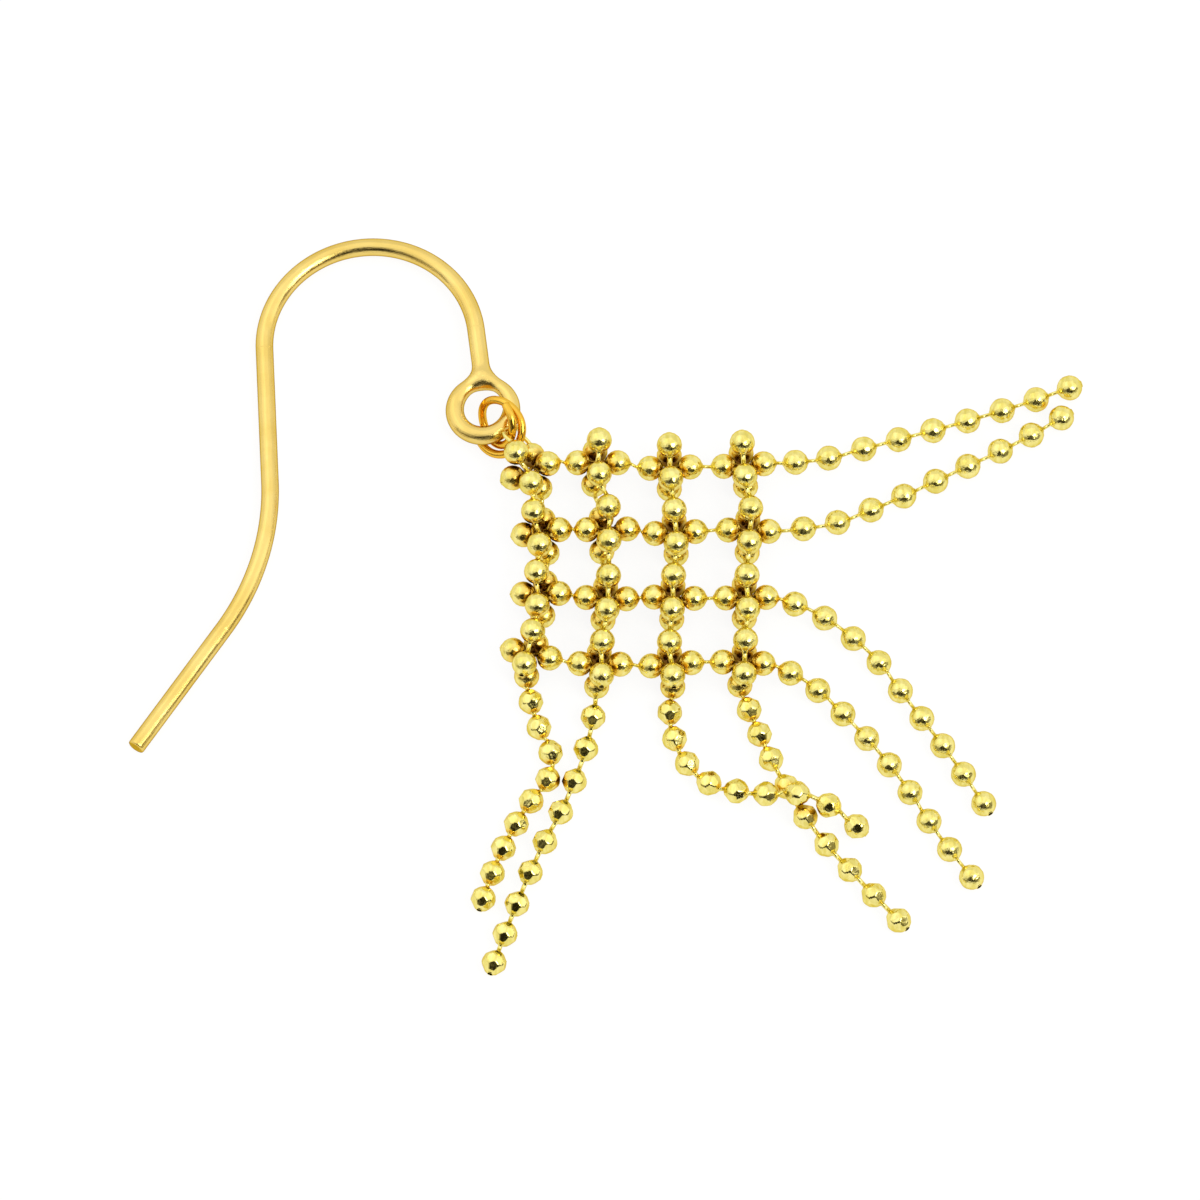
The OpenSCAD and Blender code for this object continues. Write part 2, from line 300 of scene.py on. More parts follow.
def strand_points(node):
    """The middle of each ball of a strand, in order, from the rings of its packed link wire.

    Corners that lie closer than 0.4 mm to each other belong to one ring, whose mean is the ball's
    middle. The order follows the nearest next middle from the strand's first end.
    """
    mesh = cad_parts[node].data
    corners = np.empty(len(mesh.vertices) * 3, np.float32)
    mesh.vertices.foreach_get("co", corners)
    corners = np.unique(np.round(corners.reshape(-1, 3) / MM, 4), axis=0)
    near = np.linalg.norm(corners[:, None] - corners[None], axis=2) < 0.4
    centres = np.unique(np.round((near @ corners) / near.sum(1, keepdims=True), 3), axis=0)
    first = centres[:, 0].argmin() if node.startswith("row") else centres[:, 1].argmax()
    order, left = [first], set(range(len(centres))) - {first}
    while left:
        here = centres[order[-1]]
        order.append(min(left, key=lambda j: np.linalg.norm(centres[j] - here)))
        left.remove(order[-1])
    return centres[order]


def flat_directions(seed):
    """Normals of the flats cut on a ball: every row is turned by half a flat against the last, and
    each flat is a little out of place."""
    rows = len(FLAT_LATITUDES)
    stray = np.random.default_rng(seed).normal(0, FLAT_STRAY, (2, rows, FLATS_AROUND))
    latitude = np.radians(FLAT_LATITUDES)[:, None] + stray[0]
    place = np.arange(FLATS_AROUND) + np.arange(rows)[:, None] / 2
    turn = place * 2 * np.pi / FLATS_AROUND + stray[1]
    return np.stack([np.sin(latitude), np.cos(latitude) * np.cos(turn),
                     np.cos(latitude) * np.sin(turn)], -1).reshape(-1, 3)


def ball_rings(chain, link_radius, room, sides, bands, cut, seed, aligned):
    """Rings of some balls of a strand about their own X axis, and the flat on which each point lies.

    A point in direction u is at the smaller of the radius and cut * radius / (n . u) over the flats'
    normals n. The collar round either hole stands a little out of the ball, and the link's wire
    starts there. room is how far the link is free before and after each ball. Flats that are aligned
    have nearly the same turn on all balls, as when a chain is cut in one go.
    """
    count = len(room)
    radius, collar = chain.ball / MM / 2, chain.collar / MM / 2
    base = math.asin(collar / radius)
    angle = np.concatenate([
        [base], np.linspace(base + 0.06, np.pi - base - 0.06, bands), [np.pi - base]])
    turn = np.linspace(0, 2 * np.pi, sides, endpoint=False)
    u = np.stack(np.broadcast_arrays(-np.cos(angle)[:, None], np.sin(angle)[:, None] * np.cos(turn),
                                     np.sin(angle)[:, None] * np.sin(turn)), -1)
    normals = flat_directions(seed)
    roll = np.random.default_rng(seed).uniform(-1, 1, (count, 1))
    roll = roll * ALIGNED_STRAY + chain.flat_turn if aligned else roll * np.pi
    rolled = np.stack([np.broadcast_to(normals[:, 0], (count, len(normals))),
                       normals[:, 1] * np.cos(roll) - normals[:, 2] * np.sin(roll),
                       normals[:, 1] * np.sin(roll) + normals[:, 2] * np.cos(roll)], -1)
    facing = np.maximum(np.einsum("jkx,imx->ijkm", u, rolled), 0.05)
    reach = cut * radius / facing.max(-1)
    local = np.minimum(radius, reach)[..., None] * u
    flat = np.where(reach < radius * 0.9995, facing.argmax(-1), -1)

    def ring(axial, ring_radius):
        """Rings across each ball's axis at the given distances from its middle."""
        return np.stack(np.broadcast_arrays(axial[:, None, None], ring_radius * np.cos(turn),
                                            ring_radius * np.sin(turn)), -1)

    lip = math.sqrt(radius * radius - collar * collar) + chain.collar_height / MM
    entry, leave = -np.minimum(lip, room[:, 0]), np.minimum(lip, room[:, 1])
    local = np.concatenate([
        ring(entry, link_radius), *[ring(entry * x, collar * r) for x, r in COLLAR_PROFILE], local,
        *[ring(leave * x, collar * r) for x, r in COLLAR_PROFILE[::-1]], ring(leave, link_radius)], 1)
    added = 1 + len(COLLAR_PROFILE)
    return local, np.pad(flat, ((0, 0), (added, added), (0, 0)), constant_values=-1)


def strand_skin(centres, chain, link_radius, sides, groups, seed, aligned):
    """One closed skin over a strand, and which of its faces are flat.

    groups holds for each run of balls their number, the bands of a ball and the depth of its flats.
    The last ball's hole is open, and ends inside the ball.
    """
    along = headings(centres)
    a, b = side_axes(along)
    length = np.linalg.norm(np.diff(centres, axis=0), axis=1)
    half = np.concatenate([[FAR], length / 2, [FAR]]) - LINK_GAP
    axes = np.stack([along, a, b], 1)
    rings, flats, first = [], [], 0
    for number, bands, cut in groups:
        run = slice(first, first + number)
        room = np.stack([half[:-1][run], half[1:][run]], 1)
        local, flat = ball_rings(chain, link_radius, room, sides, bands, cut, seed + first, aligned)
        world = centres[run, None, None] + np.einsum("ijkx,ixy->ijky", local, axes[run])
        rings.append(world.reshape(-1, sides, 3))
        flats.append(flat.reshape(-1, sides))
        first += number
    rings, flats = np.concatenate(rings), np.concatenate(flats)

    end, hole = centres[-1], chain.hole / MM / 2
    turn = np.linspace(0, 2 * np.pi, sides, endpoint=False)
    across = np.cos(turn)[:, None] * a[-1] + np.sin(turn)[:, None] * b[-1]
    out = (rings[-1].mean(0) - end) @ along[-1]
    rings[-1] = end + along[-1] * out + hole * across
    well = end + along[-1] * WELL_RIM + hole * across
    start = rings[0].mean(0) - 0.03 * along[0]
    points, faces = skin(np.concatenate([rings, well[None]]), start, end + along[-1] * WELL_BOTTOM)
    flats = np.concatenate([flats.ravel(), np.full(sides + 2, -1)])
    corner = flats[np.array(faces[:-2 * sides])]
    flat = (corner[:, 0] >= 0) & (corner == corner[:, :1]).all(1)
    return points, faces, np.concatenate([flat, np.zeros(2 * sides, bool)])


# Painted shade: this measure darkens the balls' gold near other balls and along the links, standing in
# for the shade between them
def hollowness(points, balls, own, on_link, radius, reach):
    """How narrow the place at each point is: 1 on another ball's skin, 0 from reach away on.

    A ball's point takes the nearest other ball. A link's point takes those of other strands, whose
    reach is a fifth longer.
    """
    value = np.empty(len(points))
    for part in np.array_split(np.arange(len(points)), len(points) // 4000 + 1):
        far = np.linalg.norm(points[part, None] - balls[None], axis=2)
        others = np.where(own, FAR, far).min(1)
        beside = np.partition(far[:, own], 1, axis=1)[:, 1]
        others, beside = (others - radius) / 1.2, beside - radius
        value[part] = np.where(on_link[part], others, np.minimum(others, beside))
    return ease(1 - value / reach)


# Painted shade: this depth darkens the gold in the gaps of the crossings, standing in for the deep
# shade under the front strands
def crossing_shade(points, middles, on_link):
    """How deep in the gap of a crossing each point is: 1 under its middle, 0 well away from it.

    A ball's point is deep within a circle that widens below the rows, and up to a height that is
    greater near the middle. A link's is deep up to the height of the front strands.
    """
    away = np.linalg.norm(points[:, None, :2] - middles[None, :, :2], axis=2).min(1)
    over = points[:, 2] - middles[0, 2]
    width = 0.6 + 0.3 * np.clip(-over, 0, 1)
    height = 0.16 + 0.24 * ease((0.55 - away) / 0.2)
    ball = ease(1.6 - away / width) * ease((height - over) / 0.2)
    link = ease(1.3 - away / 0.5) * ease((0.4 - over) / 0.2)
    return np.where(on_link, link, ball)


def build_strands(context, kind, sides, mesh_bands, tail_bands, tail_cut, tail_dents, link):
    """Every strand of one kind, each one fused piece of balls and links."""
    chain = context.scene.earring_chain
    strands = {f"{k}_{n}": strand_points(f"{k}_{n}_wire") for k in STRANDS for n in range(1, 5)}
    balls = np.concatenate(list(strands.values()))
    owner = np.concatenate([[name] * len(c) for name, c in strands.items()])
    middles = np.concatenate([strands[f"row_{n}"][:MESH_BALLS].reshape(-1, 2, 3).mean(1)
                              for n in range(1, 5)])
    radius = chain.ball / MM / 2
    # The balls' gold takes a painted shade from a point attribute, set for each strand below
    material = bpy.data.materials.get("lemon_gold") or gold(
        "lemon_gold", tone(chain.colour, chain.second_colour), (0.80, 0.66, 0.32), (0.02, 0.09),
        "dents", 0.16, (2600, (2.2, 0.8, 0.8)), hollows=tone(chain.shade_rim_colour, chain.hollow_colour))
    for number in range(1, 5):
        name = f"{kind}_{number}"
        centres = strands[name]
        groups = [(MESH_BALLS, mesh_bands, chain.mesh_flats)]
        if len(centres) > MESH_BALLS:
            groups.append((len(centres) - MESH_BALLS, tail_bands, tail_cut))
        seed = 100 * number + 1000 * STRANDS.index(kind)
        points, faces, flat = strand_skin(centres, chain, link / MM / 2, sides, groups, seed,
                                          kind == "column")
        piece = put_mesh(f"{kind}_strand_{number}", points, faces,
                         (name + "_beads", name + "_wire"), material, flat)
        far = np.linalg.norm(points[:, None] - centres[None], axis=2)
        on_link = far.min(1) > radius * 1.01
        in_tail = far.argmin(1) >= MESH_BALLS
        # Painted shade: the base colour is darkened between the balls, along the links and in the
        # crossings' gaps, where shade falls
        hollow = hollowness(points, balls, owner == name, on_link, radius, chain.hollow_reach / MM)
        hollow = np.maximum(hollow, 0.97 * crossing_shade(points, middles, on_link))
        # The bottom of the open hole in the last ball is painted in full shade
        hollow[-sides - 1:] = 1
        put_attribute(piece, "hollow", hollow)
        put_attribute(piece, "dents", np.where(in_tail, tail_dents, chain.dents))


# Jump ring and corner link

def ring_path(steps=180):
    """Two turns of a circle that eases from the first turn's plane to the second's between them."""
    t = np.linspace(*RING_ENDS, steps)[:, None]
    lean, compass = np.radians(RING_TURNS[:, 4]), np.radians(RING_TURNS[:, 5])
    zero = np.zeros(2)
    first = np.stack([-np.sin(compass), np.cos(compass), zero], -1)
    second = np.stack([-np.cos(lean) * np.cos(compass), -np.cos(lean) * np.sin(compass),
                       np.sin(lean)], -1)
    s = ease((t - RING_CHANGE[0]) / (RING_CHANGE[1] - RING_CHANGE[0]))

    def mix(pair):
        return pair[0] * (1 - s) + pair[1] * s

    angle = -np.radians(360 * t + RING_ORIGIN)
    return mix(RING_TURNS[:, :3]) + mix(RING_TURNS[:, 3:4]) * (np.cos(angle) * mix(first)
                                                              + np.sin(angle) * mix(second))


def smooth_path(points, steps=10):
    """A curve through all points but the first and last, whose slope at each is half the step
    between its neighbours."""
    t = np.linspace(0, 1, steps, endpoint=False)[None, :, None]
    a, b, c, d = (points[i:len(points) - 3 + i, None] for i in range(4))
    curve = (2 * b + (c - a) * t + (2 * a - 5 * b + 4 * c - d) * t ** 2
             + (3 * b - a - 3 * c + d) * t ** 3) / 2
    return np.concatenate([points[:1], curve.reshape(-1, 3), points[-2:]])


# Ear wire

class EarWireShape:
    """The ear wire's middle line in its own plane, and how far points are from its skin."""

    def __init__(self, size):
        self.wire = size.thickness / MM / 2
        self.loop_wire = size.loop_thickness / MM / 2
        self.loop_r = size.loop_radius / MM
        self.arch_r = size.arch_radius / MM
        self.bend_r = size.bend_radius / MM
        self.spread = size.solder_spread / MM
        turn = math.degrees(size.bend_turn)
        back_heading = 270 + BACK_LEG_LEAN
        self.back_top = ARCH_CENTRE + polar(self.arch_r, 180 + BACK_LEG_LEAN)
        self.back_end = self.back_top + polar(size.back_leg / MM, back_heading)
        self.bend = self.back_end + polar(self.bend_r, 180 + BACK_LEG_LEAN)
        self.bend_start = BACK_LEG_LEAN - turn
        self.bend_end = self.bend + polar(self.bend_r, self.bend_start)
        self.free = polar(1, back_heading - turn)
        self.tip = self.bend_end + self.free * size.free_end / MM
        self.front_top = ARCH_CENTRE + polar(self.arch_r, SHORT_LEG_LEAN)
        heading = 270 + SHORT_LEG_LEAN
        self.loop = (self.front_top + polar(size.loop_drop / MM, heading)
                     + polar(size.loop_offset / MM, heading - 90))
        self.leg_end = self.front_top + polar(size.loop_drop / MM - self.loop_r - STUB, heading)
        self.thinned = size.loop_thinned / MM / 2
        self.rest = np.array([*unit(ARCH_CENTRE + polar(self.arch_r, 165) - self.tip), 0])
        self.tilt = -size.tilt

    def raise_up(self, points):
        """Turns points about the line on which the wire touches the table, by the wire's tilt."""
        base = np.array([*self.tip, 0])
        p = points - base
        k, a = self.rest, self.tilt
        turned = p * math.cos(a) + np.cross(k, p) * math.sin(a) + np.outer(p @ k, k) * (1 - math.cos(a))
        return turned + base + UP * self.wire

    @staticmethod
    def to_line(p, a, b):
        """Distance in the plane from points to the stretch a-b, and how far along it they are."""
        d = b - a
        t = np.clip((p - a) @ d / (d @ d), 0, 1)
        return np.linalg.norm(p - a - t[:, None] * d, axis=1), t * np.linalg.norm(d)

    @staticmethod
    def to_arc(p, centre, radius, start, turn):
        """Distance in the plane from points to an arc, and how far along it they are."""
        q = p - centre
        middle = math.radians(start + turn / 2)
        off = (np.arctan2(q[:, 1], q[:, 0]) - middle + np.pi) % (2 * np.pi) - np.pi
        half = math.radians(turn / 2)
        off = np.clip(off, -half, half)
        near = centre + radius * np.stack([np.cos(off + middle), np.sin(off + middle)], 1)
        return np.linalg.norm(p - near, axis=1), radius * (off + half)

    def to_arch(self, p):
        """Distance in the plane to the arch, and how far along it the points are."""
        return self.to_arc(p, ARCH_CENTRE, self.arch_r, SHORT_LEG_LEAN,
                           180 + BACK_LEG_LEAN - SHORT_LEG_LEAN)

    def to_bend(self, p):
        """Distance in the plane to the bend, and how far along it the points are."""
        return self.to_arc(p, self.bend, self.bend_r, self.bend_start,
                           BACK_LEG_LEAN - self.bend_start)

    def distance(self, points):
        """Signed distance to the wire's skin.

        The stretches are joined by taking the nearest, and the tip's rim is a quarter circle. Leg and
        loop are joined by a smooth minimum, which subtracts h^2 * spread / 4 where
        h = 1 - |difference| / spread. The loop's wire is thinner on the inside under the leg, by the
        cube of a cosine bell.
        """
        flat, z = points[:, :2], points[:, 2]
        arch = self.to_arch(flat)[0]
        back = self.to_line(flat, self.back_top, self.back_end)[0]
        bend = self.to_bend(flat)[0]
        free = self.to_line(flat, self.bend_end, self.tip + self.free)[0]
        leg = self.to_line(flat, self.front_top, self.leg_end)[0]
        q = flat - self.loop
        bell = (1 + np.cos(np.arctan2(q[:, 1], q[:, 0]) - math.radians(THIN_AT))) / 2
        thin = self.thinned * bell ** 3
        loop = np.abs(np.linalg.norm(q, axis=1) - self.loop_r - thin)
        main = np.hypot(np.minimum.reduce([arch, back, bend, free]), z) - self.wire
        over = (flat - self.tip) @ self.free
        rim = np.hypot(np.maximum(main + TIP_ROUND, 0), np.maximum(over + TIP_ROUND, 0)) - TIP_ROUND
        main = np.where((main > -TIP_ROUND) & (over > -TIP_ROUND), rim, np.maximum(main, over))
        leg = np.minimum(np.hypot(leg, z) - self.wire, main)
        loop = np.hypot(loop, z) - self.loop_wire + thin
        h = np.maximum(1 - np.abs(leg - loop) / self.spread, 0)
        return np.minimum(leg, loop) - h * h * self.spread / 4

    def middle_line(self, step=0.25):
        """Points along the wire from the loop to the tip, in the plane."""
        arch = np.arange(SHORT_LEG_LEAN, 180 + BACK_LEG_LEAN, math.degrees(step / self.arch_r))
        bend = np.arange(BACK_LEG_LEAN, self.bend_start, -math.degrees(step / self.bend_r))
        line = np.concatenate([
            np.linspace(self.leg_end, self.front_top, 12, endpoint=False),
            ARCH_CENTRE + polar(self.arch_r, arch),
            np.linspace(self.back_top, self.back_end, 24, endpoint=False),
            self.bend + polar(self.bend_r, bend),
            np.linspace(self.bend_end, self.tip, 26)])
        return np.column_stack([line, np.zeros(len(line))])

    def brush_marks(self, points):
        """A vector field for brush marks: slow along the wire and quick round it."""
        flat, z = points[:, :2], points[:, 2]
        parts = [self.to_line(flat, self.tip, self.bend_end), self.to_bend(flat),
                 self.to_line(flat, self.back_end, self.back_top), self.to_arch(flat),
                 self.to_line(flat, self.leg_end, self.front_top),
                 self.to_arc(flat, self.loop, self.loop_r, 0, 360)]
        far = np.array([p[0] for p in parts])
        along = np.array([p[1] for p in parts]) + 10 * np.arange(len(parts))[:, None]
        nearest = far.argmin(0)
        along = along[nearest, np.arange(len(points))] * BRUSH_ALONG
        return np.stack([along, far.min(0) * BRUSH_ACROSS, z * BRUSH_ACROSS], 1)


def wire_blank(shape, around=96, sides=24):
    """The wire, the loop and the stub of the leg as overlapping closed skins, for remeshing.

    The loop is a torus: its rings lie round a circle, across the direction out of its middle.
    """
    middle = np.array([*shape.loop, 0])
    leg_end = np.array([*shape.leg_end, 0])
    leg = np.array([leg_end, middle + unit(leg_end - middle) * shape.loop_r])
    out = np.column_stack([polar(1, np.arange(around) * 360 / around), np.zeros(around)])[:, None]
    turn = (np.arange(sides) * 2 * np.pi / sides)[:, None]
    rings = middle + shape.loop_r * out + shape.loop_wire * (out * np.cos(turn) + UP * np.sin(turn))
    i, k = np.meshgrid(np.arange(around), np.arange(sides), indexing="ij")
    n, m = (i + 1) % around * sides, (k + 1) % sides
    faces = np.stack([i * sides + k, n + k, n + m, i * sides + m], -1).reshape(-1, 4).tolist()
    skins = [wire_skin(shape.middle_line(), shape.wire, sides, UP),
             wire_skin(leg, shape.wire, sides, UP), (rings.reshape(-1, 3), faces)]
    points, faces, base = [], [], 0
    for p, f in skins:
        points.append(p)
        faces += [[v + base for v in face] for face in f]
        base += len(p)
    return np.concatenate(points), faces


def remeshed(points, faces, voxel):
    """Points and faces of one even skin round overlapping ones."""
    mesh = bpy.data.meshes.new("blank")
    mesh.from_pydata(points.tolist(), [], faces)
    blank = bpy.data.objects.new("blank", mesh)
    bpy.context.scene.collection.objects.link(blank)
    wrap = blank.modifiers.new("wrap", "REMESH")
    wrap.mode = "VOXEL"
    wrap.voxel_size = voxel
    even = blank.evaluated_get(bpy.context.evaluated_depsgraph_get()).to_mesh()
    out = np.empty(len(even.vertices) * 3, np.float32)
    even.vertices.foreach_get("co", out)
    edges = np.empty(len(even.edges) * 2, np.int32)
    even.edges.foreach_get("vertices", edges)
    sides = [tuple(p.vertices) for p in even.polygons]
    blank.to_mesh_clear()
    bpy.data.objects.remove(blank)
    bpy.data.meshes.remove(mesh)
    return out.reshape(-1, 3).astype(float), edges.reshape(-1, 2), sides


def settle(points, edges, distance, rounds=8):
    """Evens the points out along the skin and draws them onto it.

    Each round moves a point halfway to the mean of its neighbours, and then three times back along
    the slope of the distance by the distance.
    """
    step = 1e-4
    count = np.bincount(edges.ravel(), minlength=len(points))[:, None]
    for _ in range(rounds):
        total = np.stack([np.bincount(edges[:, 0], points[edges[:, 1], i], len(points))
                          + np.bincount(edges[:, 1], points[edges[:, 0], i], len(points))
                          for i in range(3)], 1)
        points = (points + total / count) / 2
        for _ in range(3):
            d = distance(points)
            slope = np.stack([(distance(points + step * e) - d) / step for e in np.eye(3)], 1)
            points = points - d[:, None] * slope / np.maximum((slope ** 2).sum(1, keepdims=True), 0.2)
    return points


# Sizes and colours that a user may change

def length(text, note, default):
    """A size in metres, shown with five places."""
    return bpy.props.FloatProperty(name=text, description=note, default=default, min=0,
                                   precision=5, unit="LENGTH", subtype="DISTANCE")


def angle(text, note, default):
    """An angle, whose default is given in degrees."""
    return bpy.props.FloatProperty(name=text, description=note, default=math.radians(default),
                                   subtype="ANGLE")


def share(text, note, default, least=0):
    """A share between the least one and 1."""
    return bpy.props.FloatProperty(name=text, description=note, default=default, min=least, max=1)


def colour(text, note, default):
    """A colour."""
    return bpy.props.FloatVectorProperty(name=text, description=note, default=default, size=3,
                                         min=0, max=1, subtype="COLOR")


class EarWireSettings(bpy.types.PropertyGroup):
    """Sizes of the ear wire."""

    thickness: length("Wire", "Thickness of the ear wire", 0.0007)
    arch_radius: length("Arch", "Radius of the arch to the middle of the wire", 0.00421)
    back_leg: length("Back leg", "Length of the straight back leg", 0.0058)
    bend_radius: length("Bend", "Radius of the bend above the free end", 0.0106)
    free_end: length("Free end", "Length of the straight free end", 0.0061)
    loop_radius: length("Loop", "Radius of the loop to the middle of its wire", 0.00111)
    loop_thickness: length("Loop wire", "Thickness of the loop's wire", 0.00074)
    loop_thinned: length("Loop thinned", "How much thinner the loop's wire is under the leg", 0.0002)
    loop_drop: length("Loop drop", "Distance from the arch's end to the loop's middle", 0.00354)
    loop_offset: length("Loop offset", "How far the loop sits to one side of its leg", 0.00015)
    solder_spread: length("Solder", "How far the solder spreads between leg and loop", 0.0006)
    bend_turn: angle("Bend turn", "How far the bend turns the wire", 36.6)
    tilt: angle("Tilt", "Tilt of the ear wire on the table", 2.9)
    colour: colour("Gold", "Main tone of the ear wire's gold", (0.85, 0.635, 0.20))
    second_colour: colour("Second gold", "Second tone in its clouds", (0.79, 0.565, 0.145))


class RingSettings(bpy.types.PropertyGroup):
    """Sizes of the jump ring and the corner link."""

    thickness: length("Ring wire", "Thickness of the jump ring's wire", 0.00033)
    link: length("Corner link", "Thickness of the corner link's wire", 0.00018)
    colour: colour("Gold", "Main tone of the ring's gold", (0.86, 0.52, 0.07))
    second_colour: colour("Second gold", "Second tone in its clouds", (0.78, 0.43, 0.04))


class ChainSettings(bpy.types.PropertyGroup):
    """Sizes of the ball chain."""

    ball: length("Ball", "Diameter of a ball", 0.00101)
    collar: length("Collar", "Diameter of the collar round a ball's hole", 0.00026)
    collar_height: length("Collar height", "How far the collar stands out of the ball", 0.00003)
    hole: length("Hole", "Diameter of the open hole of a strand's last ball", 0.00026)
    link: length("Link", "Thickness of the columns' link wire", 0.00018)
    front_link: length("Front link", "Thickness of the front strands' link wire", 0.0002)
    row_link: length("Row link", "Thickness of the rows' link wire", 0.00014)
    dents: share("Dents", "Strength of the fine dents", 0.8)
    flat_dents: share("Flat dents", "Strength of the fine dents on the column tails", 0.3)
    # Reach of the painted shade that darkens the gold near other balls
    hollow_reach: length("Hollow reach", "How near another ball is where gold looks deeper", 0.0004)
    mesh_flats: share("Mesh flats", "Height of the flats on the mesh's balls, of the radius", 0.99, 0.8)
    row_flats: share("Row tail flats", "Height of the flats on the row tails' balls", 0.965, 0.8)
    column_flats: share("Column tail flats", "The same on the column tails' balls", 0.912, 0.8)
    flat_turn: angle("Flat turn", "Turn of the column tails' flats about the chain", 9)
    colour: colour("Gold", "Main tone of the balls' gold", (0.92, 0.81, 0.29))
    second_colour: colour("Second gold", "Second tone in its clouds", (0.77, 0.65, 0.15))
    # The two colours of the painted shade between balls and in the crossings' gaps: a warm one at its
    # rim, a dark one in its depth
    shade_rim_colour: colour("Rim", "Warm tone of the gold at the rim of narrow places", (0.86, 0.60, 0.12))
    hollow_colour: colour("Hollow", "Deep tone of the gold in narrow places", (0.10, 0.032, 0.006))


class StageSettings(bpy.types.PropertyGroup):
    """The camera's place and the light."""

    elevation: angle("Elevation", "Height of the camera over the table", 66)
    distance: length("Distance", "Distance of the camera", 2.0)
    width: length("View width", "Width of the picture at the earring", 0.04743)
    aim: bpy.props.FloatVectorProperty(name="Aim", description="Point at the middle of the picture",
                                       default=(-0.00022, 0.00048, 0), size=3, subtype="TRANSLATION")
    floor: colour("Floor", "Colour of the table", (0.12, 0.12, 0.12))
    glow: share("Glow", "Light that the table gives off itself", 0.88)


# Operators

class EARRING_OT_ear_wire(bpy.types.Operator):
    """Build the French ear wire with its soldered loop"""

    bl_idname = "earring.ear_wire"
    bl_label = "Ear wire"

    def execute(self, context):
        size = context.scene.earring_ear_wire
        shape = EarWireShape(size)
        points, edges, faces = remeshed(*wire_blank(shape), VOXEL)
        points = settle(points, edges, shape.distance)
        material = gold("brushed_gold", tone(size.colour, size.second_colour), (0.42, 0.28, 0.07),
                        (0.07, 0.22), 0.35, 0.12, brushed="brush_marks")
        piece = put_mesh("french_ear_wire", shape.raise_up(points), faces, ("ear_hook",),
                         material)
        put_attribute(piece, "brush_marks", shape.brush_marks(points))
        return {"FINISHED"}


class EARRING_OT_jump_ring(bpy.types.Operator):
    """Build the double jump ring"""

    bl_idname = "earring.jump_ring"
    bl_label = "Jump ring"

    def execute(self, context):
        ring = context.scene.earring_ring
        points, faces = wire_skin(ring_path(), ring.thickness / MM / 2, 16, np.array([0.3, -0.5, 0.8]))
        material = gold("ring_gold", tone(ring.colour, ring.second_colour), (0.70, 0.50, 0.20),
                        (0.10, 0.22), 0.2, 0.15)
        put_mesh("double_jump_ring", points, faces, ("jump_ring",), material)
        return {"FINISHED"}


class EARRING_OT_corner_link(bpy.types.Operator):
    """Build the wire eye between the jump ring and the corner of the mesh"""

    bl_idname = "earring.corner_link"
    bl_label = "Corner link"

    def execute(self, context):
        ring, chain = context.scene.earring_ring, context.scene.earring_chain
        ends = []
        for node in ("front_1_wire", "column_1_wire"):
            centres = strand_points(node)
            out = unit(centres[0] - centres[1])
            ends.append((centres[0] + 0.12 * out, centres[0] + chain.ball / MM / 2 * out))
        points = np.array([*ends[0], *EYE_POINTS, ends[1][1], ends[1][0]])
        points, faces = wire_skin(smooth_path(points), ring.link / MM / 2, 12,
                                  np.array([0.1, -0.9, 0.3]))
        put_mesh("corner_eye", points, faces, ("corner_link",),
                 bpy.data.materials["lemon_gold"])
        return {"FINISHED"}


class EARRING_OT_rows(bpy.types.Operator):
    """Build the four strands that run left to right, with their tails"""

    bl_idname = "earring.rows"
    bl_label = "Rows"

    def execute(self, context):
        chain = context.scene.earring_chain
        build_strands(context, "row", 18, 9, 11, chain.row_flats, chain.dents, chain.row_link)
        return {"FINISHED"}


class EARRING_OT_columns(bpy.types.Operator):
    """Build the four rear strands that run downward, with their tails"""

    bl_idname = "earring.columns"
    bl_label = "Columns"

    def execute(self, context):
        chain = context.scene.earring_chain
        build_strands(context, "column", 36, 8, 22, chain.column_flats, chain.flat_dents, chain.link)
        return {"FINISHED"}


class EARRING_OT_fronts(bpy.types.Operator):
    """Build the four front strands, which have no tails"""

    bl_idname = "earring.fronts"
    bl_label = "Front strands"

    def execute(self, context):
        chain = context.scene.earring_chain
        build_strands(context, "front", 18, 9, 9, chain.mesh_flats, chain.dents, chain.front_link)
        return {"FINISHED"}


def sheet(name, points, faces, material):
    """A surface that belongs to the stage, in metres."""
    mesh = bpy.data.meshes.new(name)
    mesh.from_pydata(points, [], faces)
    mesh.materials.append(material)
    thing = bpy.data.objects.new(name, mesh)
    bpy.context.scene.collection.objects.link(thing)
    return thing


def lit_table(shade, glow):
    """The white table, which also glows a little, as a light table does."""
    material = bpy.data.materials.new("white_table")
    material.use_nodes = True
    shader = material.node_tree.nodes["Principled BSDF"]
    shader.inputs["Base Color"].default_value = (*shade, 1)
    shader.inputs["Roughness"].default_value = 0.8
    shader.inputs["Specular IOR Level"].default_value = 0.1
    shader.inputs["Emission Color"].default_value = (1, 1, 1, 1)
    shader.inputs["Emission Strength"].default_value = glow
    return material


